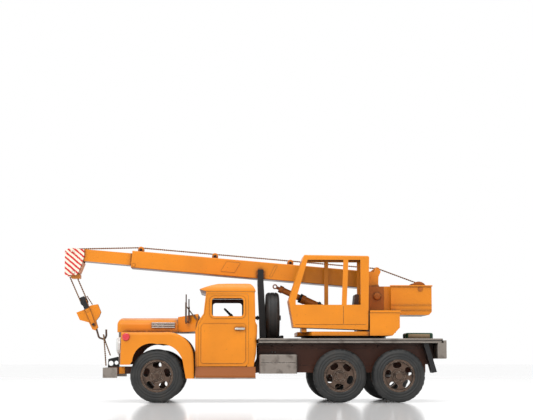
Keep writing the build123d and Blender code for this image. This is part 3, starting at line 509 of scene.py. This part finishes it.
lash_route = [(-240.2, -3.6, 57.4), (-243.6, -3.6, 100), (-245.6, 0, 111.5),
              (-243.4, 3.6, 100), (-233.4, 0.4, 74.4)]
lash = rope("rope_look_lash", lash_route, "lash", 6.0)
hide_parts("lash_rope")
turns = []
for k in range(9):
    y = -9.0 + k * 2.2
    ring = [(DRUM[0] + 11.0 * math.cos(a), y + 0.35 * a, DRUM[1] + 11.0 * math.sin(a))
            for a in [2 * math.pi * j / 72 for j in range(73)]]
    turns.append(sweep([Vector(p) for p in ring], 0.95, 8))
piece("rope_wound", *joined(turns), "drum", M["rope"], "rope")


# ---------------------------------------------------------------- small metal
def pins(name, table, body, material, slot_name):
    """Domed heads on the near side, from (radius, height, place) rows."""
    piece(name, *joined([head(radius, high, place, NEAR) for radius, high, place in table]),
          body, material, slot_name)


ears = []                       # the rope rollers' pins, along the boom
for s in (60.9, -64.0, -186.5):
    x, _, z = boom_point(s, 18)
    ears.append((2.0, 1.0, (x, -6.4, z)))
pins("roller_pin_heads", ears, "boom", M["black_paint"], "black_paint")
pins("horn_pin_head", [(2.4, 1.2, (HORN[0], -8.2, HORN[1]))], "boom",
     M["black_paint"], "black_paint")
pins("head_pin_heads",
     [(2.3, 1.2, (sheave[0], -13.6, sheave[1])), (2.3, 1.2, (-293.0, -13.6, 209.8))], "jib",
     M["black_paint"], "black_paint")
pins("pivot_pin_head", [(4.0, 1.6, (202.6, -29.2, 170.7))], "crane",
     M["black_paint"], "black_paint")
pins("block_pin_heads",
     [(1.9, 0.8, (-277.0, -6.8, 162.0)), (2.0, 0.8, (-261.1, -7.0, 125.1))], "hook_block",
     M["black_paint"], "black_paint")
cab_rivets = [(0.9, 0.5, (x, -88.2, 67.0)) for x in (-70, -52, -34, -16)]
pins("cab_rivets", cab_rivets, "root", M["orange_paint"], "orange_paint")
rail_bolts = [(1.5, 1.0, (x, -60.1, z)) for x in (30, 62, 94, 180, 200, 262) for z in (53, 89)]
pins("rail_bolts", rail_bolts, "root", M["frame_paint"], "frame_paint")


def bar_of(x, y, z, round_by, name, body, material, slot_name):
    """A softened strip, as cut from sheet and filed."""
    piece(name, *strip(x, y, z), body, material, slot_name, bevel=round_by)


for word, side in (("left", -1), ("right", 1)):
    for k, z in enumerate((118.2, 121.6, 125.0)):
        y = sorted((side * 54.8, side * 55.6))
        bar_of((-163.2, -125.8), y, (z - 0.1, z + 1.9), 0.35, f"louvre_{word}_{k}", "root",
               CHROME, "worn_silver")
    y = sorted((side * 90.0, side * 92.5))
    bar_of((-30.4, -14.2), y, (114.3, 117.7), 1.0, f"handle_{word}", f"door_{word}",
           CHROME, "worn_silver")
    y = sorted((side * 60.0, side * 61.0))
    bar_of((-213.6, -204.5), y, (45.2, 56.0), 0.3, f"orange_stub_{word}", "root",
           M["orange_paint"], "orange_paint")
    y = sorted((side * 85.0, side * 96.2))
    bar_of((-92.2, 2.7), y, (37.6, 39.4), 0.4, f"step_edge_{word}", "root",
           M["worn_silver"], "worn_silver")
    y = sorted((side * 92.0, side * 92.7))
    bar_of((7.0, 300.0), y, (97.2, 98.0), 0.1, f"deck_seam_{word}", "root",
           M["black_paint"], "black_paint")
    strap = [(-284.6, 168.5), (-277.2, 171.8), (-268.6, 152.6), (-276.0, 149.4)]
    low, high = sorted((side * 6.05, side * 6.9))
    piece(f"block_strap_{word}", *plate(strap, low, high, "y"), "hook_block",
          M["black_paint"], "black_paint", bevel=0.3)
for k, x in enumerate((30.0, 34.5)):
    clip = head(1.2, 0.8, (x, -60.2, 79.5), (0, -1, 0), 8)
    piece(f"box_stud_{k}", *clip, "root", M["worn_silver"], "worn_silver")
rope("rope_look_dead_end", [(-273.0, 0, 172.0), (-268.2, 0, 164.8), (-263.6, 0, 157.7)],
     "hook_block", 2.0, 1.0)
loop = rounded([(-219.5, 8, 104.0), (-223.5, 8, 101.0), (-224.0, 8, 88.0),
                (-220.0, 8, 80.0), (-219.2, 8, 66.5)], 5.0)
piece("tow_chain", *sweep(evenly(loop, 0.7), 0.75, 8, 0.5, 3.2), "root",
      M["worn_silver"], "worn_silver")
label = [(252.0, 102.6), (287.0, 102.6), (287.0, 109.0), (252.0, 109.0)]
piece("can_panel", *plate(label, -40.5, -40.0, "y"), "root", LABEL, "green_paint", bevel=0.15)
tag = [(-221.6, 84.0), (-219.6, 84.6), (-220.4, 76.2), (-222.4, 75.8)]
piece("tow_tag", *plate(tag, 7.0, 7.8, "y"), "root", M["lamp_red"], "lamp_red", bevel=0.2)
collar = lathe([(7.4, -2.0), (7.9, -1.4), (7.9, 1.4), (7.4, 2.0)], (78.9, 0, 168.7),
               (-0.9097, 0, 0.4152), 40)
piece("ram_collar", *collar, "ram_barrel", M["black_paint"], "black_paint")

# ---------------------------------------------------------------- stage
ground = bpy.data.meshes.new("floor")
W = 20.0                         # half the floor's width, in metres
ground.from_pydata([(-W, -W, 0), (W, -W, 0), (W, W, 0), (-W, W, 0)], [], [(0, 1, 2, 3)])
floor = bpy.data.objects.new("floor", ground)
bpy.context.scene.collection.objects.link(floor)
material, tree, place, shader = start("floor_white")
tint = mix(tree, noise(tree, place, 3.0), rgba((0.90, 0.90, 0.90)), rgba((0.93, 0.93, 0.93)))
tree.links.new(tint, shader.inputs["Base Color"])
shader.inputs["Roughness"].default_value = 0.12
ground.materials.append(material)
world = bpy.data.worlds.new("studio")
bpy.context.scene.world = world
world.use_nodes = True
world.node_tree.nodes["Background"].inputs["Color"].default_value = (1, 1, 1, 1)
world.node_tree.nodes["Background"].inputs["Strength"].default_value = 1.0
for name, place, size, power in (("key", (-0.7, -1.5, 1.7), 0.9, 15),
                                 ("top", (0.2, 0.2, 1.9), 1.2, 12)):
    lamp = bpy.data.lights.new(name, "AREA")
    lamp.size, lamp.energy = size, power
    holder = bpy.data.objects.new(name, lamp)
    holder.location = place
    aim = Vector((0, 0, 0.1)) - Vector(place)
    holder.rotation_euler = aim.to_track_quat("-Z", "Y").to_euler()
    bpy.context.scene.collection.objects.link(holder)
lens = bpy.data.cameras.new("camera")
lens.lens, lens.sensor_width, lens.shift_y, lens.clip_end = 83.5, 36.0, 0.1, 50.0
camera = bpy.data.objects.new("camera", lens)
camera.location = (-0.0449, -2.042, 0.066)
camera.rotation_euler = (math.radians(94.5), 0, math.radians(-1.9))
bpy.context.scene.collection.objects.link(camera)
bpy.context.scene.camera = camera
bpy.context.scene.view_settings.view_transform = "Standard"
